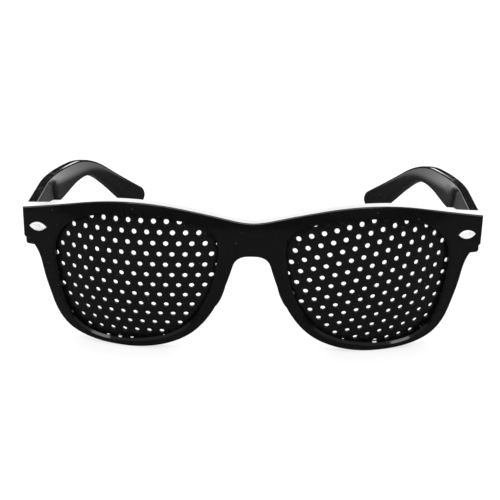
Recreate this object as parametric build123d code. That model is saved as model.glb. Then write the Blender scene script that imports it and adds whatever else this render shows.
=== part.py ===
from build123d import *
import math
import os

# Pinhole glasses: a moulded front with two perforated lens sheets, and two temples on metal hinges.
# +X is the wearer's left, +Y runs back along the temples, +Z is up. Millimetres and degrees.
# The pieces are drawn with the rims on Z = 0 and the lenses' foremost points on Y = 0, and are
# written with the origin in the middle of the space that the open glasses take on a table.

# Front, seen from ahead
LENS_WIDTH = 53.0
LENS_HEIGHT = 44.9
BRIDGE_GAP = 19.4
ENDPIECE_WIDTH = 10.3
RIM_TOP = 3.2
RIM_BOTTOM = 2.0

# Front, in depth: each rim follows the ball that its lens is part of
LENS_RADIUS = 67.6
LENS_YAW = 7.95
CURVE_RISE = 7.6
RIM_DEPTH = 3.6
BRIDGE_BLEND = 6.3
ENDPIECE_DEPTH = 5.4
ENDPIECE_BLEND = 2.7
HINGE_SEAT = 7.6
RIM_BEVEL = 0.9
FRONT_ROUND = 0.5

# Lenses, let into a groove round each opening
LENS_THICKNESS = 0.8
LENS_SETBACK = 2.0
GROOVE_DEPTH = 1.4
SEAT_CLEARANCE = 0.05

# Pinholes: a hexagonal sheet pattern, cut to the shape of each lens wherever it fell
HOLE_PITCH = 4.0
HOLE_DIAMETER = 1.6
HOLE_SIDES = 6
EDGE_LAND = 0.2
SHEET_TURN = {"right": -0.34, "left": 14.9}
SHEET_SHIFT = {"right": (3.33, -5.23), "left": (-6.31, -3.20)}

# Nose pads, moulded with the front
PAD_HEIGHT = 14.0
PAD_DEPTH = 9.0
PAD_THICKNESS = 3.4
PAD_SPLAY = 24.0
PAD_LEAN = 20.0
PAD_APART = 22.0
PAD_BEHIND = 5.0
PAD_RISE = 21.0

# Temples: the top edge slopes down, bends over the ear and drops to the tip
TEMPLE_HEIGHT = 13.0
TEMPLE_THICKNESS = 3.2
TEMPLE_INSET = 0.1
TEMPLE_SLOPE = 6.5
TEMPLE_STRAIGHT = 84.0
EAR_RADIUS = 75.0
EAR_BEND = 24.5
DROP_LENGTH = 32.3
TEMPLE_FLARE = 1.6
FLARE_LENGTH = 41.0
HEAD_RADIUS = 155.0
TEMPLE_BEVEL = 0.5
TIP_ROUND = 3.6

# Hinges: three knuckles on one screw
KNUCKLE_RADIUS = 1.45
KNUCKLE_HEIGHT = 2.4
KNUCKLE_GAP = 0.1
HINGE_CLEARANCE = 0.15
HINGE_DROP = 4.2
SCREW_RADIUS = 0.7
SCREW_FIT = 0.02
SCREW_RUNNING_FIT = 0.05
SCREW_HEAD_RADIUS = 1.2
SCREW_HEAD_HEIGHT = 0.5
SCREW_SLOT = 0.3
LEAF_THICKNESS = 0.8
LEAF_LENGTH = 6.0
LEAF_HEIGHT = 5.4
WEB_REACH = 0.5
ROOT_DEPTH = 1.2
ROOT_LENGTH = 3.2
ROOT_HEIGHT = 4.4

# Oval ornaments riveted to the endpieces
RIVET_LENGTH = 6.2
RIVET_HEIGHT = 2.7
RIVET_RISE = 0.7
RIVET_BEVEL = 0.3
RIVET_SHANK_RADIUS = 0.8
RIVET_SHANK_LENGTH = 1.5
RIVET_INSET = 5.4
RIVET_DROP = 11.5

# How far every cut runs past what it cuts
OVERRUN = 5.0

# Outline points as shares of the half width and height, from the middle of the brow outwards,
# and from the endpiece's lower corner round the rim to the middle of the bridge
BROW_SHARES = [(0, 0.876), (0.110, 0.902), (0.233, 0.946), (0.370, 0.985), (0.507, 1.0),
               (0.640, 0.989), (0.781, 0.950), (1.0, 0.872)]
CORNER_SHARE = (0.993, 0.690)
RIM_SHARES = [(0.953, 0.655), (0.926, 0.595), (0.903, 0.467), (0.878, 0.335), (0.850, 0.210),
              (0.796, 0.098), (0.707, 0.032), (0.616, 0.007), (0.527, 0)]
NOSE_SHARES = [(0.527, 0), (0.438, 0.012), (0.349, 0.048), (0.260, 0.121), (0.174, 0.268),
               (0.132, 0.389), (0.085, 0.581), (0.070, 0.632), (0.044, 0.658), (0, 0.665)]

# Opening of a rim as shares of its width and height, counted from the bridge and from below
OPENING_SHARES = [(0, 0.70), (0.022, 0.835), (0.09, 0.912), (0.25, 0.970), (0.43, 0.997),
                  (0.61, 0.998), (0.80, 0.958), (0.93, 0.875), (0.993, 0.755), (0.997, 0.56),
                  (0.965, 0.335), (0.905, 0.150), (0.80, 0.042), (0.66, 0.001), (0.50, 0.006),
                  (0.33, 0.052), (0.20, 0.14), (0.10, 0.295), (0.03, 0.50)]

# Height of a temple along its top edge, as shares of the edge's length and of the full height
TEMPLE_SHARES = [(0, 1.0), (0.14, 1.0), (0.28, 0.985), (0.40, 0.97), (0.49, 0.93), (0.59, 0.70),
                 (0.69, 0.48), (0.80, 0.54), (0.90, 0.66), (1.0, 0.80)]

# The wearer's right side is at -X. A face looks ahead or back if its normal has this share of Y.
SIDES = {"right": -1, "left": 1}
FACING_SHARE = 0.4

# How a box or cylinder lies on its plane
STANDING = (Align.CENTER, Align.CENTER, Align.MIN)
HANGING = (Align.CENTER, Align.CENTER, Align.MAX)

# Sizes that follow from those above
half_width = BRIDGE_GAP / 2 + LENS_WIDTH + ENDPIECE_WIDTH
front_width = 2 * half_width
front_height = RIM_BOTTOM + LENS_HEIGHT + RIM_TOP
lens_x = (BRIDGE_GAP + LENS_WIDTH) / 2
lens_z = RIM_BOTTOM + LENS_HEIGHT / 2 + CURVE_RISE
yaw = math.radians(LENS_YAW)
ball_x = lens_x - LENS_RADIUS * math.sin(yaw)
ball_y = LENS_RADIUS * math.cos(yaw)
face_radius = LENS_RADIUS + LENS_SETBACK
spin = Axis((0, ball_y, lens_z), (1, 0, 0))


def on_ball(depth, slope):
    """Point behind the face of the left rim, in the level plan, where the face has this slope."""
    radius = face_radius - depth
    return Vector(ball_x + radius * math.sin(slope), ball_y - radius * math.cos(slope))


def heading(slope):
    """Unit direction outwards along a line of this slope in the level plan."""
    return Vector(math.cos(slope), math.sin(slope))


def crossing(start, along, point, normal, distance):
    """Where the line from start reaches a distance from the plane through point."""
    return start + along * ((distance - (start - point).dot(normal)) / along.dot(normal))


# Level plan of the front: the ball, and the straight endpiece that leads to the hinge
inner_slope = math.asin((BRIDGE_GAP / 2 + BRIDGE_BLEND - ball_x) / face_radius)
outer_slope = math.asin((half_width - ENDPIECE_WIDTH - ENDPIECE_BLEND - ball_x) / face_radius)
middle_slope = (inner_slope + outer_slope) / 2
wing_foot = on_ball(0, outer_slope)
wing_along = heading(outer_slope)
wing_out = Vector(wing_along.Y, -wing_along.X)
front_corner = wing_foot + wing_along * ((half_width - wing_foot.X) / wing_along.X)
back_corner = front_corner - wing_out * ENDPIECE_DEPTH
seat_along = (back_corner - on_ball(RIM_DEPTH, outer_slope)).normalized()
seat_back = Vector(-seat_along.Y, seat_along.X)

# Level plan of a hinge and of the temple that hangs on it, for the wearer's left side
hinge_reach = KNUCKLE_RADIUS + HINGE_CLEARANCE
flare = math.radians(TEMPLE_FLARE)
temple_along = Vector(math.sin(flare), math.cos(flare))
temple_inwards = Vector(-math.cos(flare), math.sin(flare))
hinge_x = half_width - TEMPLE_INSET - TEMPLE_THICKNESS - hinge_reach
hinge_spot = crossing(Vector(hinge_x, 0), Vector(0, 1), back_corner, seat_back, hinge_reach)
temple_start = hinge_spot - temple_inwards * (hinge_reach + TEMPLE_THICKNESS)


def place(share, side=1):
    """A share of the front's half width and height as a point on the plane of the front."""
    return (side * share[0] * half_width, share[1] * front_height)


def front_outline():
    """The whole front, seen from ahead."""
    brow = [place(s, -1) for s in BROW_SHARES[:0:-1]] + [place(s) for s in BROW_SHARES]
    nose = [place(s) for s in NOSE_SHARES] + [place(s, -1) for s in NOSE_SHARES[-2::-1]]
    left_rim = [place(s) for s in RIM_SHARES]
    right_rim = [place(s, -1) for s in RIM_SHARES[::-1]]
    left_corner = place(CORNER_SHARE)
    right_corner = place(CORNER_SHARE, -1)
    edges = [
        Spline(*brow),
        Line(brow[-1], left_corner),
        Line(left_corner, left_rim[0]),
        Spline(*left_rim),
        Spline(*nose),
        Spline(*right_rim),
        Line(right_rim[-1], right_corner),
        Line(right_corner, brow[0]),
    ]
    return make_face(Curve() + edges)


def opening(grow, side):
    """The opening of one rim, seen from ahead and grown all round."""
    low_x = BRIDGE_GAP / 2 - grow
    low_z = RIM_BOTTOM - grow
    width = LENS_WIDTH + 2 * grow
    height = LENS_HEIGHT + 2 * grow
    points = [(side * (low_x + a * width), low_z + b * height) for a, b in OPENING_SHARES]
    return make_face(Spline(*points, periodic=True))


def ahead(face):
    """A face drawn in X and Z, run right through the front along Y."""
    return extrude(Plane.XZ * face, half_width, both=True)


def mid_bridge(start):
    """Where the arc of the bridge that meets the ball here without a kink crosses the middle."""
    return Vector(0, start.Y - start.X * math.tan(inner_slope / 2))


def front_plan():
    """The level section of the front, through the middle of the lenses."""
    face_start = on_ball(0, inner_slope)
    face_end = on_ball(0, outer_slope)
    back_start = on_ball(RIM_DEPTH, inner_slope)
    back_end = on_ball(RIM_DEPTH, outer_slope)
    face_far = front_corner + wing_along * OVERRUN
    back_far = back_corner + seat_along * OVERRUN
    half = Curve() + [
        TangentArc(mid_bridge(face_start), face_start, tangent=Vector(1, 0)),
        ThreePointArc(face_start, on_ball(0, middle_slope), face_end),
        Line(face_end, face_far),
        Line(face_far, back_far),
        Line(back_far, back_end),
        ThreePointArc(back_end, on_ball(RIM_DEPTH, middle_slope), back_start),
        TangentArc(back_start, mid_bridge(back_start), tangent=-heading(inner_slope)),
    ]
    return make_face(half + mirror(half, about=Plane.YZ))


def rim_blank():
    """The front in one solid piece: the level section swung about the lenses, cut to the outline."""
    swing = math.degrees(math.atan2(front_height, ball_y - back_corner.Y))
    level = Pos(0, 0, lens_z) * front_plan()
    swept = revolve(level.rotate(spin, swing), spin, revolution_arc=-2 * swing)
    return swept & ahead(front_outline())


def border(part, side):
    """Edges round the faces that look ahead (side -1) or back (side 1)."""
    looking = [face for face in part.faces() if side * face.normal_at().Y > FACING_SHARE]
    edges = [edge for face in looking for edge in face.edges()]
    return [edge for edge in edges if sum(edge.is_same(other) for other in edges) == 1]


def ball_layer(front_radius, back_radius, side):
    """The layer between two balls about the centre that one lens and its rim share."""
    layer = Sphere(front_radius) - Sphere(back_radius)
    return Pos(side * ball_x, ball_y, lens_z) * layer


def lens_blank(clearance, side):
    """A lens before its holes or, with a clearance, the groove that takes it."""
    front_radius = LENS_RADIUS + clearance
    back_radius = LENS_RADIUS - LENS_THICKNESS - clearance
    outline = opening(GROOVE_DEPTH - RIM_BEVEL + clearance, side)
    return ball_layer(front_radius, back_radius, side) & ahead(outline)


def hole_places(name):
    """Middles of the sheet's holes, across and up from the middle of a lens."""
    turn = math.radians(SHEET_TURN[name])
    shift_u, shift_v = SHEET_SHIFT[name]
    count = math.ceil((LENS_WIDTH + LENS_HEIGHT) / HOLE_PITCH)
    places = []
    for row in range(-count, count + 1):
        for column in range(-count, count + 1):
            along = (column + row / 2) * HOLE_PITCH
            up = row * HOLE_PITCH * math.sin(math.pi / 3)
            u = shift_u + along * math.cos(turn) - up * math.sin(turn)
            v = shift_v + along * math.sin(turn) + up * math.cos(turn)
            places.append((u, v))
    return places


def lens(name):
    """A sheet of black plastic, pressed to a ball and drilled all over along the line of sight."""
    side = SIDES[name]
    across = Vector(math.cos(yaw), side * math.sin(yaw), 0)
    straight_ahead = Vector(side * math.sin(yaw), -math.cos(yaw), 0)
    sight = Plane(origin=(side * lens_x, 0, lens_z), x_dir=across, z_dir=straight_ahead)
    land = opening(GROOVE_DEPTH - RIM_BEVEL - HOLE_DIAMETER / 2 - EDGE_LAND, side)
    drills = []
    for u, v in hole_places(name):
        sag = LENS_RADIUS - math.sqrt(max(LENS_RADIUS ** 2 - u ** 2 - v ** 2, 0))
        spot = sight.from_local_coords(Vector(u, v, -sag))
        if land.is_inside((spot.X, spot.Z, 0)):
            hole = Pos(u, v, -sag) * RegularPolygon(HOLE_DIAMETER / 2, HOLE_SIDES)
            drills.append(extrude(sight * hole, OVERRUN, both=True))
    print("holes in the", name, "lens:", len(drills))
    return lens_blank(0, side) - drills


def nose_pad(side):
    """A pad that swells from the back of the rim and stands along the side of the nose."""
    pad = scale(Sphere(1), by=(PAD_THICKNESS / 2, PAD_DEPTH / 2, PAD_HEIGHT / 2))
    turned = pad.rotate(Axis.Y, -side * PAD_LEAN).rotate(Axis.Z, -side * PAD_SPLAY)
    return Pos(side * PAD_APART / 2, PAD_BEHIND, PAD_RISE) * turned


def hinge_seat():
    """What is cut off behind an endpiece to give the hinge a flat, upright seat."""
    seat = Plane(origin=back_corner, x_dir=-seat_along, z_dir=seat_back)
    cut = Box(OVERRUN + HINGE_SEAT, front_width, OVERRUN, align=STANDING)
    return seat * Pos((HINGE_SEAT - OVERRUN) / 2, 0, 0) * cut


def temple_plan(along, inwards):
    """Point on the table's plane: so far along a temple's outer face and so far in from it."""
    straight = min(along, FLARE_LENGTH)
    bowed = max(along - FLARE_LENGTH, 0) / HEAD_RADIUS
    out = Vector(math.cos(flare - bowed), -math.sin(flare - bowed))
    middle = temple_start + temple_along * straight + temple_inwards * HEAD_RADIUS
    return middle + out * (HEAD_RADIUS - inwards)


def temple_side(along, drop):
    """Point of a temple seen from its side: so far along its top edge and so far square below it."""
    slope = math.radians(TEMPLE_SLOPE)
    bend = math.radians(EAR_BEND)
    straight = min(along, TEMPLE_STRAIGHT)
    turned = min(max(along - TEMPLE_STRAIGHT, 0) / EAR_RADIUS, bend)
    dropped = max(along - TEMPLE_STRAIGHT - EAR_RADIUS * bend, 0)
    angle = slope + turned
    across = straight * math.cos(slope) + EAR_RADIUS * (math.sin(angle) - math.sin(slope))
    across += dropped * math.cos(angle) - drop * math.sin(angle)
    down = straight * math.sin(slope) + EAR_RADIUS * (math.cos(slope) - math.cos(angle))
    down += dropped * math.sin(angle) + drop * math.cos(angle)
    return (temple_plan(across, 0).Y, -down)


def temple_profile():
    """A temple seen from its side, with its top edge at the hinge at the height zero."""
    length = TEMPLE_STRAIGHT + EAR_RADIUS * math.radians(EAR_BEND) + DROP_LENGTH
    stations = [(share * length, height * TEMPLE_HEIGHT) for share, height in TEMPLE_SHARES]
    stations.insert(0, (-OVERRUN, TEMPLE_HEIGHT))
    top = [temple_side(along, 0) for along, height in stations]
    bottom = [temple_side(along, height) for along, height in stations]
    edges = [
        Spline(*top),
        Line(top[-1], bottom[-1]),
        Spline(*bottom[::-1]),
        Line(bottom[0], top[0]),
    ]
    profile = make_face(Curve() + edges)
    tip = profile.vertices().sort_by(Axis.X)[-2:]
    return fillet(tip, TIP_ROUND)


# Height of the temples and their hinges: the open glasses stand on their rims and temple tips
side_profile = temple_profile()
temple_top = -side_profile.bounding_box().min.Y
knuckle_step = KNUCKLE_HEIGHT + KNUCKLE_GAP
stack_height = KNUCKLE_HEIGHT + 2 * knuckle_step
hinge_middle = Vector(hinge_spot.X, hinge_spot.Y, temple_top - HINGE_DROP)


def hinge_frame(normal):
    """Plane on the face that a hinge leaf lies in: abreast of the axis, y up and z towards the axis."""
    across = Vector(0, 0, 1).cross(normal)
    return Plane(origin=hinge_middle - normal * hinge_reach, x_dir=across, z_dir=normal)


def leaf_plate(direction, clearance, rise):
    """Plate and root of a hinge leaf on its frame or, with a clearance and a rise, their recess."""
    middle = direction * (LEAF_LENGTH / 2 - WEB_REACH)
    grow = 2 * clearance
    plate_depth = LEAF_THICKNESS + clearance + rise
    plate = Box(LEAF_LENGTH + grow, LEAF_HEIGHT + grow, plate_depth, align=HANGING)
    root = Box(ROOT_LENGTH + grow, ROOT_HEIGHT + grow, plate_depth + ROOT_DEPTH, align=HANGING)
    return Pos(middle, 0, rise) * (plate + root)


def hinge_leaf(direction, knuckles, fit):
    """A hinge leaf on its frame: a plate with a root, and knuckles that stand off it on webs."""
    leaf = leaf_plate(direction, 0, 0)
    web = Box(WEB_REACH + KNUCKLE_RADIUS, KNUCKLE_HEIGHT, hinge_reach, align=STANDING)
    web_middle = direction * (KNUCKLE_RADIUS - WEB_REACH) / 2
    barrel = Rotation(90, 0, 0) * Cylinder(KNUCKLE_RADIUS, KNUCKLE_HEIGHT)
    for knuckle in knuckles:
        height = knuckle * knuckle_step
        leaf += Pos(web_middle, height, 0) * web
        leaf += Pos(0, height, hinge_reach) * barrel
    bore = Rotation(90, 0, 0) * Cylinder(SCREW_RADIUS + fit, 2 * stack_height)
    return leaf - Pos(0, 0, hinge_reach) * bore


def hinge_screw():
    """The screw that the temple turns on, with a slotted head on top of the knuckles."""
    shank = Cylinder(SCREW_RADIUS, stack_height)
    head = Cylinder(SCREW_HEAD_RADIUS, SCREW_HEAD_HEIGHT, align=STANDING)
    slot = Box(2 * SCREW_HEAD_RADIUS, SCREW_SLOT, OVERRUN, align=STANDING)
    screw = shank + Pos(0, 0, stack_height / 2) * head
    screw -= Pos(0, 0, (stack_height + SCREW_HEAD_HEIGHT) / 2) * slot
    return Pos(*hinge_middle) * screw


def ahead_of_butt():
    """The space that a temple's end face, parallel to the seat of the hinge, keeps out of."""
    butt = Plane(origin=back_corner + seat_back * HINGE_CLEARANCE, x_dir=seat_along, z_dir=-seat_back)
    return butt * Box(front_width, front_width, front_width, align=STANDING)


def temple_blank():
    """A temple cut from sheet and bowed to the head, before its edges are bevelled."""
    length = TEMPLE_STRAIGHT + EAR_RADIUS + DROP_LENGTH
    stations = [-OVERRUN, FLARE_LENGTH, (FLARE_LENGTH + length) / 2, length]
    outer = [temple_plan(along, 0) for along in stations]
    inner = [temple_plan(along, TEMPLE_THICKNESS) for along in stations]
    edges = [
        Line(outer[0], outer[1]),
        ThreePointArc(*outer[1:]),
        Line(outer[-1], inner[-1]),
        ThreePointArc(*inner[:0:-1]),
        Line(inner[1], inner[0]),
        Line(inner[0], outer[0]),
    ]
    bowed = extrude(make_face(Curve() + edges), front_height, both=True)
    flat = extrude(Plane.YZ * (Pos(0, temple_top) * side_profile), front_width, both=True)
    return (bowed & flat) - ahead_of_butt()


def temple():
    """A temple for the wearer's left side, with the recess for its hinge leaf."""
    blank = temple_blank()
    butt = blank.faces().sort_by(Axis.Y)[0]
    long_edges = blank.edges().filter_by(Axis.Z, reverse=True).filter_by(Axis.X, reverse=True)
    bevelled = chamfer(long_edges - butt.edges(), TEMPLE_BEVEL)
    return bevelled - hinge_frame(temple_inwards) * leaf_plate(-1, SEAT_CLEARANCE, OVERRUN)


def rivet_place(piece):
    """Moves a piece drawn on the level plan's endpiece, z outwards, to where the ornament sits."""
    foot = wing_foot + wing_along * ((half_width - RIVET_INSET - wing_foot.X) / wing_along.X)
    level = Plane(origin=(foot.X, foot.Y, lens_z), x_dir=wing_along, z_dir=wing_out)
    lift = math.asin((front_height - RIVET_DROP - lens_z) / (ball_y - foot.Y))
    return (level * piece).rotate(spin, -math.degrees(lift))


def rivet_hole():
    """The blind hole in the endpiece for the shank of the ornament."""
    depth = RIVET_SHANK_LENGTH + SEAT_CLEARANCE
    hole = Cylinder(RIVET_SHANK_RADIUS + SEAT_CLEARANCE, depth + OVERRUN, align=STANDING)
    return rivet_place(Pos(0, 0, -depth) * hole)


def pointed_oval(length, height):
    """Two equal arcs that meet in points."""
    left = (-length / 2, 0)
    right = (length / 2, 0)
    edges = [
        ThreePointArc(left, (0, height / 2), right),
        ThreePointArc(right, (0, -height / 2), left),
    ]
    return make_face(Curve() + edges)


def rivet():
    """The bright ornament: a pointed oval with a bevelled border round a sunken field, on a shank."""
    head = extrude(pointed_oval(RIVET_LENGTH, RIVET_HEIGHT), RIVET_RISE)
    head = chamfer(head.faces().sort_by(Axis.Z)[-1].edges(), RIVET_BEVEL)
    field = pointed_oval(RIVET_LENGTH - 4 * RIVET_BEVEL, RIVET_HEIGHT - 4 * RIVET_BEVEL)
    head -= Pos(0, 0, RIVET_RISE - RIVET_BEVEL / 2) * extrude(field, OVERRUN)
    shank = Cylinder(RIVET_SHANK_RADIUS, RIVET_SHANK_LENGTH, align=HANGING)
    return rivet_place(Pos(0, 0, SEAT_CLEARANCE) * (head + shank))


def sided(piece, side):
    """A piece of the wearer's left side, or its mirror image for the right."""
    return piece if side > 0 else mirror(piece, about=Plane.YZ)


def front_frame():
    """The front: brow, two rims, bridge, endpieces and nose pads in one moulding."""
    front = rim_blank()
    front = fillet(border(front, -1), FRONT_ROUND)
    for side in SIDES.values():
        window = ahead(opening(-RIM_BEVEL, side))
        front -= window
        ring = [edge for edge in border(front, -1) if edge.distance_to(window) < SEAT_CLEARANCE]
        front = chamfer(ring, RIM_BEVEL)
        front += nose_pad(side)
        front -= lens_blank(SEAT_CLEARANCE, side)
        front -= sided(hinge_seat(), side)
        front -= sided(hinge_frame(seat_back) * leaf_plate(1, SEAT_CLEARANCE, OVERRUN), side)
        front -= sided(rivet_hole(), side)
    return front


parts = {"front_frame": front_frame()}
for name, side in SIDES.items():
    front_leaf = hinge_frame(seat_back) * hinge_leaf(1, (-1, 1), SCREW_FIT)
    temple_leaf = hinge_frame(temple_inwards) * hinge_leaf(-1, (0,), SCREW_RUNNING_FIT)
    parts["lens_" + name] = lens(name)
    parts["hinge_front_" + name] = sided(front_leaf, side)
    parts["hinge_temple_" + name] = sided(temple_leaf - ahead_of_butt(), side)
    parts["hinge_screw_" + name] = sided(hinge_screw(), side)
    parts["rivet_" + name] = sided(rivet(), side)
    parts["temple_" + name] = sided(temple(), side)

# The origin goes to the middle of the space that the open glasses take on the table
boxes = [piece.bounding_box() for piece in parts.values()]
foremost = min(box.min.Y for box in boxes)
hindmost = max(box.max.Y for box in boxes)
to_origin = Pos(0, -(foremost + hindmost) / 2, 0)
os.makedirs("parts", exist_ok=True)
for name, piece in parts.items():
    export_step(to_origin * piece, "parts/" + name + ".step")
    print(name, "solids:", len(piece.solids()), "volume:", round(piece.volume, 1))
joint = to_origin * Pos(*hinge_middle)
print("left hinge axis at", [round(value, 3) for value in joint.position])
print("space taken:", round(2 * max(box.max.X for box in boxes), 2), round(hindmost - foremost, 2),
      round(max(box.max.Z for box in boxes), 2))
print("lowest point:", round(min(box.min.Z for box in boxes), 4), "temple top:", round(temple_top, 2))
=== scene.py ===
import bmesh
import bpy
import math
from mathutils import Matrix, Vector


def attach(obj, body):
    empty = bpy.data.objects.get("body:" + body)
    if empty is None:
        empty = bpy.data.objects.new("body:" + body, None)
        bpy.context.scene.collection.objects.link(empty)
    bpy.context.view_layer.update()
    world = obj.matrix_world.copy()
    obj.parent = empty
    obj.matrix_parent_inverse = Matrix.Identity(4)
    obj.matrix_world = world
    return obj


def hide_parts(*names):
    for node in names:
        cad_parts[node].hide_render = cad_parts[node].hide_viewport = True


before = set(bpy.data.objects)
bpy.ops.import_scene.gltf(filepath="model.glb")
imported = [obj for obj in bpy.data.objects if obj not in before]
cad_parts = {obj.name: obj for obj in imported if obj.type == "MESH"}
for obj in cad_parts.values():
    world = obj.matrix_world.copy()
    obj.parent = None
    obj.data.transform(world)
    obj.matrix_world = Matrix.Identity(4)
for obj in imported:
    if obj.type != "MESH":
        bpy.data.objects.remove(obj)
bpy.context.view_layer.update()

# Front: brow, two rims, bridge, endpieces and nose pads in one injection moulding of black plastic,
# tumbled until it shines. The lenses, hinges and ornaments are all fixed in it.
MOULDED_BLACK = (0.0032, 0.0033, 0.0036, 1.0)
SETTLED_DUST = (0.060, 0.058, 0.054, 1.0)
SHINE = 0.07
HANDLED = 0.10
SCRATCHED = 0.22
PLASTIC_INDEX = 1.45
SINKS_PER_METRE = 60.0
SINK_DEPTH = 0.00002
SMUDGES_PER_METRE = 70.0
SCRATCHES_PER_METRE = 95.0
SPECKS_PER_METRE = 620.0
HAZE_RANGE = (0.44, 0.72)
SCRATCH_LAYS = (((0.5, 0.2, 0.9), (1.0, 14.0, 1.0)), ((0.1, 1.1, 2.2), (16.0, 1.0, 1.0)))
SCRATCH_WIDTH = 0.006
SCRATCHED_PLACES = (0.52, 0.66)
SCRATCH_CUT = -0.10
SPECK_RANGE = (0.05, 0.14)
SPECK_CHOSEN = 0.93


def add(tree, kind, settings=None, **inputs):
    """A node with its settings; an input given as a socket is linked, any other is set."""
    node = tree.nodes.new(kind)
    for key, value in (settings or {}).items():
        setattr(node, key, value)
    for key, value in inputs.items():
        label = int(key[1:]) if key[1:].isdigit() else key.replace("_", " ")
        socket = node.inputs[label]
        if isinstance(value, bpy.types.NodeSocket):
            tree.links.new(value, socket)
        else:
            socket.default_value = value
    return node


def sum_of(tree, operation, first, second=0.0):
    """The result of one Math node."""
    return add(tree, "ShaderNodeMath", {"operation": operation}, _0=first, _1=second).outputs[0]


def between(tree, value, low, high, at_low=0.0, at_high=1.0):
    """A value carried smoothly from one range to another."""
    node = add(tree, "ShaderNodeMapRange", {"interpolation_type": "SMOOTHSTEP"}, Value=value,
               _1=low, _2=high, _3=at_low, _4=at_high)
    return node.outputs[0]


def node_group(name, kind, inputs, outputs):
    """A node group with named sockets, and its input and output nodes."""
    group = bpy.data.node_groups.new(name, kind)
    for label, socket in inputs:
        group.interface.new_socket(label, in_out="INPUT", socket_type="NodeSocket" + socket)
    for label, socket in outputs:
        group.interface.new_socket(label, in_out="OUTPUT", socket_type="NodeSocket" + socket)
    return group, group.nodes.new("NodeGroupInput"), group.nodes.new("NodeGroupOutput")


# Shared by every plastic piece: the haze of fingers, hair scratches, dust, and the sink marks that
# thick mouldings have
marks, given, result = node_group(
    "handling_marks", "ShaderNodeTree",
    [("Place", "Vector"), ("Smudges per Metre", "Float"), ("Scratches per Metre", "Float"),
     ("Specks per Metre", "Float"), ("Sinks per Metre", "Float")],
    [("Haze", "Float"), ("Scratches", "Float"), ("Dust", "Float"), ("Sink", "Float")])
place = given.outputs["Place"]
smudge = add(marks, "ShaderNodeTexNoise", Vector=place, Scale=given.outputs["Smudges per Metre"],
             Detail=4.0, Roughness=0.62, Distortion=0.6)
marks.links.new(between(marks, smudge.outputs["Fac"], *HAZE_RANGE), result.inputs["Haze"])
scratches = None
for turn, stretch in SCRATCH_LAYS:
    laid = add(marks, "ShaderNodeMapping", Vector=place, Rotation=turn, Scale=stretch)
    grain = add(marks, "ShaderNodeTexNoise", Vector=laid.outputs[0],
                Scale=given.outputs["Scratches per Metre"], Detail=1.0)
    offset = sum_of(marks, "SUBTRACT", grain.outputs["Fac"], 0.5)
    line = between(marks, sum_of(marks, "ABSOLUTE", offset), 0.0, SCRATCH_WIDTH, 1.0, 0.0)
    scratches = line if scratches is None else sum_of(marks, "MAXIMUM", scratches, line)
broken = add(marks, "ShaderNodeTexNoise", Vector=place,
             Scale=given.outputs["Smudges per Metre"], Detail=2.0)
kept = between(marks, broken.outputs["Fac"], *SCRATCHED_PLACES)
marks.links.new(sum_of(marks, "MULTIPLY", scratches, kept), result.inputs["Scratches"])
speck = add(marks, "ShaderNodeTexVoronoi", Vector=place, Scale=given.outputs["Specks per Metre"])
near = between(marks, speck.outputs["Distance"], *SPECK_RANGE, 1.0, 0.0)
parted = add(marks, "ShaderNodeSeparateColor", Color=speck.outputs["Color"])
chosen = sum_of(marks, "GREATER_THAN", parted.outputs[0], SPECK_CHOSEN)
marks.links.new(sum_of(marks, "MULTIPLY", near, chosen), result.inputs["Dust"])
sink = add(marks, "ShaderNodeTexNoise", Vector=place, Scale=given.outputs["Sinks per Metre"],
           Detail=1.0)
marks.links.new(sink.outputs["Fac"], result.inputs["Sink"])


def finish_of(name):
    """An empty material with its tree and its shader."""
    material = bpy.data.materials.new(name)
    material.use_nodes = True
    return material, material.node_tree, material.node_tree.nodes["Principled BSDF"]


def plastic(name, colour, shine, handled, scratched, sinks, sink_depth):
    """Black plastic: its colour under dust, its gloss under haze and scratches, and its sinks."""
    material, tree, shader = finish_of(name)
    where = add(tree, "ShaderNodeTexCoord").outputs["Object"]
    wear = add(tree, "ShaderNodeGroup", {"node_tree": marks}, Place=where,
               Smudges_per_Metre=SMUDGES_PER_METRE, Scratches_per_Metre=SCRATCHES_PER_METRE,
               Specks_per_Metre=SPECKS_PER_METRE, Sinks_per_Metre=sinks)
    coat = add(tree, "ShaderNodeMix", {"data_type": "RGBA"}, Factor=wear.outputs["Dust"],
               _6=colour, _7=SETTLED_DUST)
    hazed = sum_of(tree, "MULTIPLY", wear.outputs["Haze"], handled)
    scored = sum_of(tree, "MULTIPLY", wear.outputs["Scratches"], scratched)
    gloss = sum_of(tree, "ADD", sum_of(tree, "ADD", shine, hazed), scored)
    cut = sum_of(tree, "MULTIPLY", wear.outputs["Scratches"], SCRATCH_CUT)
    relief = add(tree, "ShaderNodeBump", Height=sum_of(tree, "ADD", wear.outputs["Sink"], cut),
                 Strength=1.0, Distance=sink_depth)
    tree.links.new(coat.outputs[2], shader.inputs["Base Color"])
    tree.links.new(gloss, shader.inputs["Roughness"])
    tree.links.new(relief.outputs[0], shader.inputs["Normal"])
    shader.inputs["IOR"].default_value = PLASTIC_INDEX
    return material


def coat_node(node, material):
    """Gives a CAD piece its finish."""
    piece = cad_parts[node]
    for holder in piece.material_slots:
        holder.material = material


polished_black = plastic("polished_black", MOULDED_BLACK, SHINE, HANDLED, SCRATCHED,
                         SINKS_PER_METRE, SINK_DEPTH)
coat_node("front_frame", polished_black)

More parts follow.
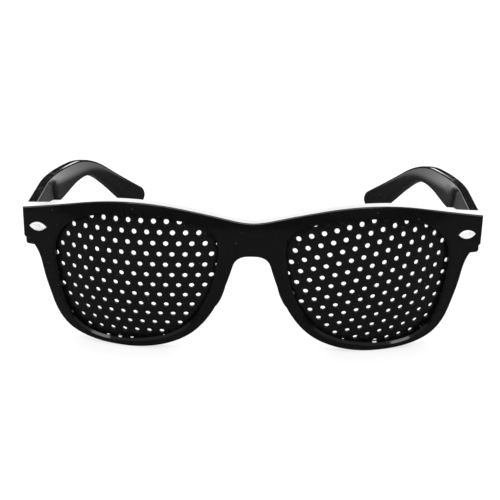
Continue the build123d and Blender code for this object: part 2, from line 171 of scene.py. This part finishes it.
# Lens sheets: black plastic sheet, punched all over with round holes on a hexagonal pattern, pressed
# to a ball and snapped into the groove of each rim. The edge cuts through holes where it falls.
HOLE_PITCH = 0.004
HOLE_DIAMETER = 0.0016
HOLE_SIDES = 24
SHEET_THICKNESS = 0.0008
BALL_RADIUS = 0.0676
LENS_YAW = math.radians(7.95)
LENS_MIDDLE = Vector((0.0362, -0.075369, 0.03205))
LENS_BELOW = 0.0076
SHEET_TURN = {"right": -0.34, "left": 14.9}
SHEET_SHIFT = {"right": (0.00333, -0.00523), "left": (-0.00631, -0.00320)}
OPENING_WIDTH = 0.0530
OPENING_HEIGHT = 0.0449
IN_GROOVE = 0.0004
PUNCHED_EDGE = 0.00007
PUNCHED_SEGMENTS = 2
PUNCHED_ANGLE = math.radians(50)
SHEET_SHARP_ANGLE = math.radians(38)
SHEET_REACH = (0.033, 0.029, 1.0)
SHEET_ROWS = 25
CELL_TURN = math.radians(30)
QUARTER_TURN = math.radians(90)
DIE_LENGTH = 0.12
WALL_MERGE = 1e-6
TILE_MERGE = 1e-5
SHEET_BLACK = (0.0040, 0.0040, 0.0046, 1.0)
SHEET_SHINE = 0.16
SHEET_HANDLED = 0.12
SHEET_SCRATCHED = 0.2
SHEET_SINKS_PER_METRE = 180.0
SHEET_SINK_DEPTH = 0.00001
WALL_SHARE = 0.8
PUNCHED_DULL = 0.75
OPENING_SHARES = [(0, 0.70), (0.022, 0.835), (0.09, 0.912), (0.25, 0.970), (0.43, 0.997),
                  (0.61, 0.998), (0.80, 0.958), (0.93, 0.875), (0.993, 0.755), (0.997, 0.56),
                  (0.965, 0.335), (0.905, 0.150), (0.80, 0.042), (0.66, 0.001), (0.50, 0.006),
                  (0.33, 0.052), (0.20, 0.14), (0.10, 0.295), (0.03, 0.50)]
SIDES = {"right": -1, "left": 1}


def closed_slab(tree, face, thickness):
    """A flat face and its copy so far above it, with walls between them."""
    raised = add(tree, "GeometryNodeExtrudeMesh", Mesh=face, Offset_Scale=thickness,
                 Individual=False)
    under = add(tree, "GeometryNodeFlipFaces", Mesh=face)
    both = add(tree, "GeometryNodeJoinGeometry")
    tree.links.new(raised.outputs[0], both.inputs[0])
    tree.links.new(under.outputs[0], both.inputs[0])
    walled = add(tree, "GeometryNodeMergeByDistance", Geometry=both.outputs[0], Distance=WALL_MERGE)
    return walled.outputs[0]


sheet, given, result = node_group(
    "punched_sheet", "GeometryNodeTree",
    [("Geometry", "Geometry"), ("Outline", "Object"), ("Pitch", "Float"), ("Hole", "Float"),
     ("Hole Sides", "Int"), ("Thickness", "Float"), ("Ball Radius", "Float"), ("Turn", "Float"),
     ("Shift", "Vector"), ("Below", "Vector"), ("Reach", "Vector"), ("Middle", "Vector"),
     ("Facing", "Vector"), ("Finish", "Material")],
    [("Geometry", "Geometry")])
sheet.is_modifier = True
pitch = given.outputs["Pitch"]
row_step = sum_of(sheet, "MULTIPLY", pitch, math.sin(math.pi / 3))
width = sum_of(sheet, "MULTIPLY", pitch, SHEET_ROWS - 1.0)
height = sum_of(sheet, "MULTIPLY", row_step, SHEET_ROWS - 1.0)
lattice = add(sheet, "GeometryNodeMeshGrid", Size_X=width, Size_Y=height,
              Vertices_X=SHEET_ROWS, Vertices_Y=SHEET_ROWS)
spot = add(sheet, "GeometryNodeInputPosition").outputs[0]
split = add(sheet, "ShaderNodeSeparateXYZ", Vector=spot)
row = sum_of(sheet, "ROUND", sum_of(sheet, "DIVIDE", split.outputs[1], row_step))
odd = sum_of(sheet, "FLOORED_MODULO", row, 2.0)
half_step = sum_of(sheet, "MULTIPLY", sum_of(sheet, "MULTIPLY", odd, pitch), 0.5)
stagger = add(sheet, "ShaderNodeCombineXYZ", X=half_step)
lattice = add(sheet, "GeometryNodeSetPosition", Geometry=lattice.outputs[0],
              Offset=stagger.outputs[0])
spin = add(sheet, "ShaderNodeCombineXYZ", Z=given.outputs["Turn"]).outputs[0]
lattice = add(sheet, "GeometryNodeTransform", Geometry=lattice.outputs[0],
              Translation=given.outputs["Shift"], Rotation=spin)
from_middle = add(sheet, "ShaderNodeVectorMath", {"operation": "SUBTRACT"}, _0=spot,
                  _1=given.outputs["Below"])
share = add(sheet, "ShaderNodeVectorMath", {"operation": "DIVIDE"}, _0=from_middle.outputs[0],
            _1=given.outputs["Reach"])
far = add(sheet, "ShaderNodeVectorMath", {"operation": "LENGTH"}, _0=share.outputs[0])
outside = sum_of(sheet, "GREATER_THAN", far.outputs["Value"], 1.0)
lattice = add(sheet, "GeometryNodeDeleteGeometry", Geometry=lattice.outputs[0], Selection=outside)
cell_radius = sum_of(sheet, "DIVIDE", pitch, math.sqrt(3))
cell = add(sheet, "GeometryNodeCurvePrimitiveCircle", Resolution=6, Radius=cell_radius)
cell = add(sheet, "GeometryNodeTransform", Geometry=cell.outputs[0], Rotation=(0, 0, CELL_TURN))
hole_radius = sum_of(sheet, "MULTIPLY", given.outputs["Hole"], 0.5)
hole = add(sheet, "GeometryNodeCurvePrimitiveCircle", Resolution=given.outputs["Hole Sides"],
           Radius=hole_radius)
rings = add(sheet, "GeometryNodeJoinGeometry")
sheet.links.new(cell.outputs[0], rings.inputs[0])
sheet.links.new(hole.outputs[0], rings.inputs[0])
tile = add(sheet, "GeometryNodeFillCurve", Curve=rings.outputs[0])
tiles = add(sheet, "GeometryNodeInstanceOnPoints", Points=lattice.outputs[0],
            Instance=tile.outputs[0], Rotation=spin)
plate = add(sheet, "GeometryNodeRealizeInstances", Geometry=tiles.outputs[0])
plate = add(sheet, "GeometryNodeMergeByDistance", Geometry=plate.outputs[0], Distance=TILE_MERGE)
lowered = sum_of(sheet, "MULTIPLY", given.outputs["Thickness"], -1.0)
behind = add(sheet, "ShaderNodeCombineXYZ", Z=lowered)
plate = add(sheet, "GeometryNodeTransform", Geometry=plate.outputs[0],
            Translation=behind.outputs[0])
slab = closed_slab(sheet, plate.outputs[0], given.outputs["Thickness"])
square_x = sum_of(sheet, "POWER", split.outputs[0], 2.0)
square_y = sum_of(sheet, "POWER", split.outputs[1], 2.0)
ball = given.outputs["Ball Radius"]
square_ball = sum_of(sheet, "POWER", ball, 2.0)
left_over = sum_of(sheet, "SUBTRACT", sum_of(sheet, "SUBTRACT", square_ball, square_x), square_y)
layer = sum_of(sheet, "DIVIDE", sum_of(sheet, "ADD", ball, split.outputs[2]), ball)
on_skin = add(sheet, "ShaderNodeCombineXYZ", X=split.outputs[0], Y=split.outputs[1],
              Z=sum_of(sheet, "SQRT", left_over))
from_centre = add(sheet, "ShaderNodeVectorMath", {"operation": "SCALE"}, _0=on_skin.outputs[0],
                  Scale=layer)
to_vertex = add(sheet, "ShaderNodeCombineXYZ", Z=ball)
on_ball = add(sheet, "ShaderNodeVectorMath", {"operation": "SUBTRACT"}, _0=from_centre.outputs[0],
              _1=to_vertex.outputs[0])
pressed = add(sheet, "GeometryNodeSetPosition", Geometry=slab, Position=on_ball.outputs[0])
pressed = add(sheet, "GeometryNodeTransform", Geometry=pressed.outputs[0],
              Translation=given.outputs["Middle"], Rotation=given.outputs["Facing"])
edge = add(sheet, "GeometryNodeObjectInfo", Object=given.outputs["Outline"])
die_face = add(sheet, "GeometryNodeFillCurve", Curve=edge.outputs["Geometry"])
die = closed_slab(sheet, die_face.outputs[0], DIE_LENGTH)
die = add(sheet, "GeometryNodeTransform", Geometry=die, Rotation=(QUARTER_TURN, 0, 0))
cut = add(sheet, "GeometryNodeMeshBoolean", {"operation": "INTERSECT", "solver": "MANIFOLD"})
sheet.links.new(pressed.outputs[0], cut.inputs["Mesh 2"])
sheet.links.new(die.outputs[0], cut.inputs["Mesh 2"])
real = add(sheet, "GeometryNodeRealizeInstances", Geometry=cut.outputs[0])
done = add(sheet, "GeometryNodeSetMaterial", Geometry=real.outputs[0],
           Material=given.outputs["Finish"])
sheet.links.new(done.outputs[0], result.inputs[0])


def new_object(name, data):
    """A new object at the origin, in the scene."""
    made = bpy.data.objects.new(name, data)
    bpy.context.scene.collection.objects.link(made)
    return made


def set_inputs(modifier, values):
    """Sets a tree's named inputs on its modifier."""
    for item in modifier.node_group.interface.items_tree:
        if item.in_out == "INPUT" and item.name in values:
            modifier[item.identifier] = values[item.name]


def made_plain(name, holder):
    """The finished mesh of an object with live modifiers, as a plain piece of its own."""
    graph = bpy.context.evaluated_depsgraph_get()
    mesh = bpy.data.meshes.new_from_object(holder.evaluated_get(graph))
    mesh.name = name
    bpy.data.objects.remove(holder)
    return new_object(name, mesh)


def lens_outline(name, side):
    """The edge of a lens sheet, seen from ahead, as a closed smooth curve."""
    curve = bpy.data.curves.new(name, "CURVE")
    curve.dimensions = "2D"
    curve.fill_mode = "NONE"
    line = curve.splines.new("BEZIER")
    line.bezier_points.add(len(OPENING_SHARES) - 1)
    low_x = LENS_MIDDLE.x - OPENING_WIDTH / 2 - IN_GROOVE
    low_z = LENS_MIDDLE.z - LENS_BELOW - OPENING_HEIGHT / 2 - IN_GROOVE
    shares = OPENING_SHARES[::side]
    for point, (across, up) in zip(line.bezier_points, shares):
        x = side * (low_x + across * (OPENING_WIDTH + 2 * IN_GROOVE))
        z = low_z + up * (OPENING_HEIGHT + 2 * IN_GROOVE)
        point.co = (x, z, 0)
        point.handle_left_type = point.handle_right_type = "AUTO"
    line.use_cyclic_u = True
    return new_object(name, curve)


def mark_punched(mesh, side, middle):
    """Marks the walls of the holes, which stand square to the ball and stay torn by the punch."""
    yaw = side * LENS_YAW
    ball_middle = middle - Vector((math.sin(yaw), -math.cos(yaw), 0.0)) * BALL_RADIUS
    wall = mesh.attributes.new("punched", "FLOAT", "FACE")
    facing = [abs(face.normal.dot((face.center - ball_middle).normalized()))
              for face in mesh.polygons]
    wall.data.foreach_set("value", [float(share < WALL_SHARE) for share in facing])


sheet_black = plastic("sheet_black", SHEET_BLACK, SHEET_SHINE, SHEET_HANDLED, SHEET_SCRATCHED,
                      SHEET_SINKS_PER_METRE, SHEET_SINK_DEPTH)
tree = sheet_black.node_tree
polished = tree.nodes["Principled BSDF"].inputs["Roughness"]
torn = add(tree, "ShaderNodeAttribute", {"attribute_name": "punched"})
dulled = add(tree, "ShaderNodeMix", {"data_type": "FLOAT"}, _0=torn.outputs["Fac"],
             _2=polished.links[0].from_socket, _3=PUNCHED_DULL)
tree.links.new(dulled.outputs[0], polished)
for name, side in SIDES.items():
    outline = lens_outline("outline_" + name, side)
    holder = new_object("sheet_" + name, bpy.data.meshes.new("sheet_" + name))
    tree = holder.modifiers.new("punch", "NODES")
    tree.node_group = sheet
    middle = Vector((side * LENS_MIDDLE.x, LENS_MIDDLE.y, LENS_MIDDLE.z))
    shift = SHEET_SHIFT[name]
    set_inputs(tree, {
        "Outline": outline, "Pitch": HOLE_PITCH, "Hole": HOLE_DIAMETER, "Hole Sides": HOLE_SIDES,
        "Thickness": SHEET_THICKNESS, "Ball Radius": BALL_RADIUS,
        "Turn": math.radians(SHEET_TURN[name]), "Shift": (shift[0], shift[1], 0.0),
        "Below": (0.0, -LENS_BELOW, 0.0), "Reach": SHEET_REACH, "Middle": middle,
        "Facing": (QUARTER_TURN, 0.0, side * LENS_YAW), "Finish": sheet_black})
    piece = made_plain("punched_lens_" + name, holder)
    bpy.data.objects.remove(outline)
    rolled = piece.modifiers.new("rolled_edges", "BEVEL")
    rolled.width = PUNCHED_EDGE
    rolled.segments = PUNCHED_SEGMENTS
    rolled.limit_method = "ANGLE"
    rolled.angle_limit = PUNCHED_ANGLE
    piece = made_plain("pinhole_lens_" + name, piece)
    mark_punched(piece.data, side, middle)
    piece.data.shade_smooth()
    piece.data.set_sharp_from_angle(angle=SHEET_SHARP_ANGLE)
    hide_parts("lens_" + name)
    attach(piece, "front")

# Temples: cut from the same black plastic, bowed to the head and bent down behind the ear, every long
# edge rolled over by the tumbling, with a recess in the inner face for the leaf of the hinge.
TEMPLE_START = Vector((0.0728981, -0.0576523))
TEMPLE_TOP = 0.0430235
TEMPLE_HEIGHT = 0.013
TEMPLE_THICKNESS = 0.0032
TEMPLE_SLOPE = math.radians(6.5)
TEMPLE_STRAIGHT = 0.084
EAR_RADIUS = 0.075
EAR_BEND = math.radians(23.3)
DROP_LENGTH = 0.0335
FLARE = math.radians(1.6)
FLARE_LENGTH = 0.0397
# How far back a point lies follows HEAD_RADIUS, and how far out it lies the flatter BOWED_RADIUS
HEAD_RADIUS = 0.155
BOWED_RADIUS = 0.166
ROLLED_EDGE = 0.0008
CROWN = 0.00003
TIP_ROUND = 0.0042
TIP_TURNS = (0, 15, 30, 45, 58, 68, 77, 84, 90)
FIRST_RING = 0.005
RING_STEP = 0.002
RING_END = 0.006
ROLL_STEPS = 4
ROLL_SHARE = 0.45
FACE_SHARES = (0.17, 0.33, 0.5, 0.67, 0.83)
TEMPLE_SHARP_ANGLE = math.radians(30)
HINGE_AXIS = Vector((0.0681, -0.0575183))
LEAF_BELOW_TOP = 0.0042
RECESS_OUTWARDS = 0.00095
RECESS_BACK = 0.0025
RECESS_BLOCK = (0.003, 0.0061, 0.0055, 1.0)
BUTT_POINT = Vector((0.0703412, -0.0577050))
BUTT_TURN = math.radians(35.385)
TEMPLE_SHARES = [(0, 1.0), (0.14, 1.0), (0.28, 0.96), (0.40, 0.92), (0.49, 0.85), (0.59, 0.63),
                 (0.69, 0.43), (0.80, 0.45), (0.90, 0.585), (1.0, 0.75)]
temple_along = Vector((math.sin(FLARE), math.cos(FLARE)))
temple_inwards = Vector((-math.cos(FLARE), math.sin(FLARE)))
temple_length = TEMPLE_STRAIGHT + EAR_RADIUS * EAR_BEND + DROP_LENGTH


def plan_y(along):
    """How far back a point of the outer face is, so far along the temple seen from above."""
    bowed = max(along - FLARE_LENGTH, 0) / HEAD_RADIUS
    middle = TEMPLE_START + temple_along * min(along, FLARE_LENGTH) + temple_inwards * HEAD_RADIUS
    return middle.y - math.sin(FLARE - bowed) * HEAD_RADIUS


def plan_x(y, inwards):
    """How far out a temple is at this distance back, so far in from its outer face."""
    along = (y - TEMPLE_START.y - temple_inwards.y * inwards) / temple_along.y
    if along <= FLARE_LENGTH:
        return TEMPLE_START.x + temple_along.x * along + temple_inwards.x * inwards
    middle = TEMPLE_START + temple_along * FLARE_LENGTH + temple_inwards * BOWED_RADIUS
    radius = BOWED_RADIUS - inwards
    return middle.x + math.sqrt(radius ** 2 - (y - middle.y) ** 2)


def temple_side(along, drop):
    """A temple's point in Y and Z: so far along its top edge and so far square below it."""
    turned = min(max(along - TEMPLE_STRAIGHT, 0) / EAR_RADIUS, EAR_BEND)
    dropped = max(along - TEMPLE_STRAIGHT - EAR_RADIUS * EAR_BEND, 0)
    straight = min(along, TEMPLE_STRAIGHT)
    angle = TEMPLE_SLOPE + turned
    sine, cosine = math.sin(TEMPLE_SLOPE), math.cos(TEMPLE_SLOPE)
    across = straight * cosine + EAR_RADIUS * (math.sin(angle) - sine)
    across += dropped * math.cos(angle) - drop * math.sin(angle)
    down = straight * sine + EAR_RADIUS * (cosine - math.cos(angle))
    down += dropped * math.sin(angle) + drop * math.cos(angle)
    return plan_y(across), TEMPLE_TOP - down


def temple_height(along):
    """The height of a temple here, carried smoothly from one share to the next."""
    share = along / temple_length
    last = len(TEMPLE_SHARES) - 1
    i = next(k for k in range(last) if share <= TEMPLE_SHARES[k + 1][0] or k == last - 1)
    (a, low), (b, high) = TEMPLE_SHARES[i], TEMPLE_SHARES[i + 1]
    slopes = []
    for k in (i, i + 1):
        before, after = TEMPLE_SHARES[max(k - 1, 0)], TEMPLE_SHARES[min(k + 1, last)]
        slopes.append((after[1] - before[1]) / (after[0] - before[0]) * (b - a))
    t = (share - a) / (b - a)
    value = (low * (1 + 2 * t) * (1 - t) ** 2 + slopes[0] * t * (1 - t) ** 2
             + high * t * t * (3 - 2 * t) - slopes[1] * t * t * (1 - t))
    return value * TEMPLE_HEIGHT


def rolled_section(top, bottom, slimmer):
    """A temple cut square: crowned faces and rolled edges, as points inwards and down."""
    low, high = slimmer, TEMPLE_THICKNESS - slimmer
    roll = min(ROLLED_EDGE, (high - low) * ROLL_SHARE, (bottom - top) * ROLL_SHARE)
    corners = ((low, bottom, 1, -1), (high, bottom, -1, -1), (high, top, -1, 1), (low, top, 1, 1))
    turns = ((180, 90), (90, 0), (0, -90), (-90, -180))
    points = []
    for (w, h, in_w, in_h), (start, stop) in zip(corners, turns):
        crown = CROWN * in_w
        for k in range(ROLL_STEPS + 1):
            turn = math.radians(start + (stop - start) * k / ROLL_STEPS)
            points.append((w + crown + in_w * roll + roll * math.cos(turn),
                           h + in_h * roll + roll * math.sin(turn)))
        flat = bottom - top - 2 * roll
        if in_h < 0 and in_w < 0:
            points += [(high - CROWN * (2 * t - 1) ** 2, bottom - roll - flat * t)
                       for t in FACE_SHARES]
        if in_h > 0 and in_w > 0:
            points += [(low + CROWN * (2 * t - 1) ** 2, top + roll + flat * t)
                       for t in FACE_SHARES]
    return points


def at_butt(inwards, drop):
    """How far along its top edge a point of the temple's slanting front end is."""
    square = Vector((-math.sin(BUTT_TURN), math.cos(BUTT_TURN)))
    ahead = BUTT_POINT - TEMPLE_START - temple_inwards * inwards
    reach = ahead.dot(square) / temple_along.dot(square)
    across = reach + temple_inwards.y * inwards / temple_along.y
    return (across + drop * math.sin(TEMPLE_SLOPE)) / math.cos(TEMPLE_SLOPE)


def temple_mesh(name, side):
    """A temple as rings of points from its butt to its tip."""
    straight_rings = int((temple_length - TIP_ROUND - RING_END) / RING_STEP)
    stations = [FIRST_RING + RING_STEP * k for k in range(straight_rings)]
    stations += [temple_length - TIP_ROUND * (1 - math.sin(math.radians(t))) for t in TIP_TURNS]
    rings = [[(at_butt(w, h), w, h) for w, h in rolled_section(0, temple_height(0), 0)]]
    for along in stations:
        past = max(along - temple_length + TIP_ROUND, 0) / TIP_ROUND
        inset = TIP_ROUND * (1 - math.sqrt(max(1 - past ** 2, 0)))
        over = max(along - temple_length + ROLLED_EDGE, 0) / ROLLED_EDGE
        slimmer = ROLLED_EDGE * (1 - math.sqrt(max(1 - over ** 2, 0)))
        section = rolled_section(inset, temple_height(along) - inset, slimmer)
        rings.append([(along, w, h) for w, h in section])
    vertices, faces = [], []
    for ring in rings:
        for along, w, h in ring:
            y, z = temple_side(along, h)
            vertices.append((side * plan_x(y, w), y, z))
    count = len(rings[0])
    for r in range(len(rings) - 1):
        for k in range(count):
            here, after = r * count + k, r * count + (k + 1) % count
            faces.append((here, after, after + count, here + count))
    faces.append(tuple(range(count - 1, -1, -1)))
    faces.append(tuple((len(rings) - 1) * count + k for k in range(count)))
    mesh = bpy.data.meshes.new(name)
    mesh.from_pydata(vertices, [], faces)
    turned_out = bmesh.new()
    turned_out.from_mesh(mesh)
    bmesh.ops.recalc_face_normals(turned_out, faces=turned_out.faces)
    turned_out.to_mesh(mesh)
    turned_out.free()
    return mesh


def recess_for_leaf(side):
    """The block that is milled out of a temple's inner face for the hinge leaf."""
    middle = HINGE_AXIS - temple_inwards * RECESS_OUTWARDS + temple_along * RECESS_BACK
    mesh = bpy.data.meshes.new("recess")
    block = bmesh.new()
    bmesh.ops.create_cube(block, size=1.0)
    place = (Matrix.Translation((side * middle.x, middle.y, TEMPLE_TOP - LEAF_BELOW_TOP))
             @ Matrix.Rotation(-side * FLARE, 4, "Z") @ Matrix.Diagonal(RECESS_BLOCK))
    bmesh.ops.transform(block, matrix=place, verts=block.verts)
    block.to_mesh(mesh)
    block.free()
    return new_object("recess", mesh)


for name, side in SIDES.items():
    piece = new_object("bowed_temple_" + name, temple_mesh("bowed_temple_" + name, side))
    recess = recess_for_leaf(side)
    milled = piece.modifiers.new("milled", "BOOLEAN")
    milled.operation = "DIFFERENCE"
    milled.solver = "EXACT"
    milled.object = recess
    piece = made_plain("tumbled_temple_" + name, piece)
    bpy.data.objects.remove(recess)
    piece.data.materials.clear()
    piece.data.materials.append(polished_black)
    piece.data.shade_smooth()
    piece.data.set_sharp_from_angle(angle=TEMPLE_SHARP_ANGLE)
    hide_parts("temple_" + name)
    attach(piece, "temple_" + name)

# Hinges: stamped and turned steel, three knuckles on a slotted screw, with a leaf sunk in the
# endpiece and one in the temple. Only the barrel shows, behind the top of the front.
HINGE_STEEL = (0.30, 0.30, 0.31, 1.0)
WORN_STEEL = (0.52, 0.51, 0.50, 1.0)
STEEL_SMOOTH = 0.22
STEEL_ROUGH = 0.5
STEEL_LINES_PER_METRE = 9000.0
STEEL_LINE_DEPTH = 0.000004
LINE_STRETCH = (0.05, 0.05, 1.0)
STAINS_PER_METRE = 500.0
STAIN_RANGE = (0.42, 0.66)
turned, given, result = node_group(
    "turned_metal", "ShaderNodeTree",
    [("Place", "Vector"), ("Lines per Metre", "Float"), ("Stains per Metre", "Float")],
    [("Lines", "Float"), ("Stain", "Float")])
flat = add(turned, "ShaderNodeMapping", Vector=given.outputs["Place"], Scale=LINE_STRETCH)
fine = add(turned, "ShaderNodeTexNoise", Vector=flat.outputs[0],
           Scale=given.outputs["Lines per Metre"], Detail=2.0)
turned.links.new(fine.outputs["Fac"], result.inputs["Lines"])
blotch = add(turned, "ShaderNodeTexNoise", Vector=given.outputs["Place"],
             Scale=given.outputs["Stains per Metre"], Detail=3.0)
turned.links.new(between(turned, blotch.outputs["Fac"], *STAIN_RANGE), result.inputs["Stain"])


def metal(name, dull, bright, smooth, rough, lines, depth, metallic=1.0):
    """Turned or rolled metal: fine lines, and stains where the finish has dulled."""
    material, tree, shader = finish_of(name)
    where = add(tree, "ShaderNodeTexCoord").outputs["Object"]
    made = add(tree, "ShaderNodeGroup", {"node_tree": turned}, Place=where, Lines_per_Metre=lines,
               Stains_per_Metre=STAINS_PER_METRE)
    tone = add(tree, "ShaderNodeMix", {"data_type": "RGBA"}, Factor=made.outputs["Stain"],
               _6=bright, _7=dull)
    spread = sum_of(tree, "MULTIPLY", made.outputs["Lines"], rough - smooth)
    stained = sum_of(tree, "MULTIPLY", made.outputs["Stain"], (rough - smooth) / 2)
    gloss = sum_of(tree, "ADD", sum_of(tree, "ADD", spread, stained), smooth)
    relief = add(tree, "ShaderNodeBump", Height=made.outputs["Lines"], Strength=1.0, Distance=depth)
    tree.links.new(tone.outputs[2], shader.inputs["Base Color"])
    tree.links.new(gloss, shader.inputs["Roughness"])
    tree.links.new(relief.outputs[0], shader.inputs["Normal"])
    shader.inputs["Metallic"].default_value = metallic
    return material


hinge_steel = metal("hinge_steel", HINGE_STEEL, WORN_STEEL, STEEL_SMOOTH, STEEL_ROUGH,
                    STEEL_LINES_PER_METRE, STEEL_LINE_DEPTH)
for name in SIDES:
    for part in ("hinge_front_", "hinge_temple_", "hinge_screw_"):
        coat_node(part + name, hinge_steel)

# Ornaments: pointed ovals pressed from brass, plated bright and riveted to the endpieces, with a
# raised border round a sunken field.
PLATED = (0.93, 0.93, 0.93, 1.0)
DULLED = (0.74, 0.73, 0.72, 1.0)
PLATED_SMOOTH = 0.10
PLATED_ROUGH = 0.34
PLATED_LINES_PER_METRE = 2500.0
PLATED_LINE_DEPTH = 0.000002
PLATED_METALLIC = 0.3
plated = metal("bright_plating", DULLED, PLATED, PLATED_SMOOTH, PLATED_ROUGH,
               PLATED_LINES_PER_METRE, PLATED_LINE_DEPTH, metallic=PLATED_METALLIC)
for name in SIDES:
    coat_node("rivet_" + name, plated)

# Studio: a plain white floor and backdrop, soft lamps over, behind, in front and at each side, and
# the camera of the photograph. Mirror reflections see the floor painted dark, with a painted glowing
# zone just behind the glasses.
FLOOR_REACH = 6.0
FLOOR_WHITE = (0.86, 0.86, 0.86, 1.0)
# The painted glowing zone that mirror reflections see on the floor: where it begins and fades behind
# the glasses, and where it ends aside
PAINTED_GLOW_BEGINS = (0.098, 0.111)
PAINTED_GLOW_FADES = (0.20, 0.36)
PAINTED_DARK_LEVEL = 0.04
PAINTED_GLOW_SIDES = (0.044, 0.054)
PAINTED_GLOW_LEVEL = 1.0
FLOOR_ROUGH = 0.9
FLOOR_SPECULAR = 0.1
# How much of the floor the camera sees as even white, and how much mirror rays see as the painted
# glow or painted dark
FLOOR_SHOWN_SHARE = 0.72
PAINTED_REFLECTION_SHARE = 0.95
ROOM_RANGE = (0.12, 0.30, 0.02, 0.35)
ROOM_LIGHT = 0.6
LAMP_AIM = Vector((0, 0, 0))
# Each lamp's place, width, height and watts
LAMPS = {
    "lamp_over": ((0.0, 0.10, 1.0), 1.2, 0.9, 6.0),
    "lamp_behind": ((0.0, 1.5, 0.75), 2.4, 0.8, 27.0),
    "lamp_front": ((0.0, -0.9, 1.1), 1.2, 0.6, 10.0),
    "lamp_right": ((-1.1, -0.2, 0.6), 0.7, 0.9, 4.0),
    "lamp_left": ((1.1, -0.2, 0.6), 0.7, 0.9, 4.0)}
CAMERA_AT = Vector((0.0017, -0.54826, 0.2005))
LOOK_DOWN = math.radians(19.23)
LOOK_ASIDE = math.radians(-0.28)
TILT = math.radians(1.01)
FOCAL_SHARE = 1615 / 500
SENSOR = 36.0
CLIP_START = 0.01

floor_mesh = bpy.data.meshes.new("floor")
r = FLOOR_REACH
floor_mesh.from_pydata([(-r, -r, 0), (r, -r, 0), (r, r, 0), (-r, r, 0)], [], [(0, 1, 2, 3)])
floor = new_object("floor", floor_mesh)
floor_with_painted_reflection, tree, shader = finish_of("floor_white_and_painted_reflection")
shader.inputs["Base Color"].default_value = FLOOR_WHITE
shader.inputs["Roughness"].default_value = FLOOR_ROUGH
shader.inputs["Specular IOR Level"].default_value = FLOOR_SPECULAR
spot = add(tree, "ShaderNodeSeparateXYZ", Vector=add(tree, "ShaderNodeTexCoord").outputs["Object"])
# Painted reflection: for mirror rays the floor glows in a zone just behind the glasses, between the
# temples, and is painted dark everywhere else
painted_glow_begins = between(tree, spot.outputs[1], *PAINTED_GLOW_BEGINS, 0.0, 1.0)
painted_glow_fades = between(tree, spot.outputs[1], *PAINTED_GLOW_FADES, PAINTED_GLOW_LEVEL, PAINTED_DARK_LEVEL)
aside = between(tree, sum_of(tree, "ABSOLUTE", spot.outputs[0]), *PAINTED_GLOW_SIDES, 1.0, 0.0)
bright = sum_of(tree, "MULTIPLY", sum_of(tree, "MULTIPLY", painted_glow_begins, painted_glow_fades), aside)
painted_reflection_level = sum_of(tree, "MAXIMUM", bright, PAINTED_DARK_LEVEL)
seen = add(tree, "ShaderNodeLightPath")
# The camera sees the floor evenly white; mirror rays see the painted glow and painted dark levels
level = add(tree, "ShaderNodeMix", {"data_type": "FLOAT"}, _0=seen.outputs["Is Glossy Ray"], _2=1.0,
            _3=painted_reflection_level)
white_and_painted_glow = add(tree, "ShaderNodeEmission", Color=(1, 1, 1, 1), Strength=level.outputs[0])
direct = sum_of(tree, "MAXIMUM", seen.outputs["Is Camera Ray"], seen.outputs["Is Transmission Ray"])
shown = sum_of(tree, "MULTIPLY", direct, FLOOR_SHOWN_SHARE)
painted_reflection_share = sum_of(tree, "MULTIPLY", seen.outputs["Is Glossy Ray"], PAINTED_REFLECTION_SHARE)
share = sum_of(tree, "MAXIMUM", shown, painted_reflection_share)
lit = add(tree, "ShaderNodeMixShader", _0=share, _1=shader.outputs[0], _2=white_and_painted_glow.outputs[0])
tree.links.new(lit.outputs[0], tree.nodes["Material Output"].inputs[0])
floor_mesh.materials.append(floor_with_painted_reflection)

world = bpy.data.worlds.new("studio")
bpy.context.scene.world = world
world.use_nodes = True
tree = world.node_tree
tree.nodes.clear()
seen = add(tree, "ShaderNodeLightPath")
direct = sum_of(tree, "MAXIMUM", seen.outputs["Is Camera Ray"], seen.outputs["Is Transmission Ray"])
looking = add(tree, "ShaderNodeTexCoord").outputs["Generated"]
way = add(tree, "ShaderNodeSeparateXYZ", Vector=looking)
room = between(tree, way.outputs[2], *ROOM_RANGE)
shown = add(tree, "ShaderNodeMix", {"data_type": "FLOAT"}, _0=seen.outputs["Is Glossy Ray"],
            _2=ROOM_LIGHT, _3=room)
level = add(tree, "ShaderNodeMix", {"data_type": "FLOAT"}, _0=direct, _2=shown.outputs[0], _3=1.0)
sky = add(tree, "ShaderNodeBackground", Color=(1, 1, 1, 1), Strength=level.outputs[0])
tree.links.new(sky.outputs[0], tree.nodes.new("ShaderNodeOutputWorld").inputs[0])


def soft_lamp(name, place, wide, tall, power):
    """A wide soft lamp, aimed at the glasses, that shows in reflections but not to the camera."""
    data = bpy.data.lights.new(name, "AREA")
    data.shape = "RECTANGLE"
    data.size = wide
    data.size_y = tall
    data.energy = power
    lamp = new_object(name, data)
    lamp.location = place
    lamp.rotation_euler = (LAMP_AIM - Vector(place)).to_track_quat("-Z", "Y").to_euler()
    lamp.visible_camera = False


for name, values in LAMPS.items():
    soft_lamp(name, *values)

lens_data = bpy.data.cameras.new("camera")
lens_data.sensor_width = SENSOR
lens_data.lens = FOCAL_SHARE * SENSOR
lens_data.clip_start = CLIP_START
camera = new_object("camera", lens_data)
turn = (Matrix.Rotation(-LOOK_ASIDE, 3, "Z") @ Matrix.Rotation(-LOOK_DOWN, 3, "X")
        @ Matrix.Rotation(-TILT, 3, "Y") @ Matrix.Rotation(QUARTER_TURN, 3, "X"))
camera.matrix_world = Matrix.Translation(CAMERA_AT) @ turn.to_4x4()
bpy.context.scene.camera = camera
bpy.context.scene.view_settings.view_transform = "Standard"
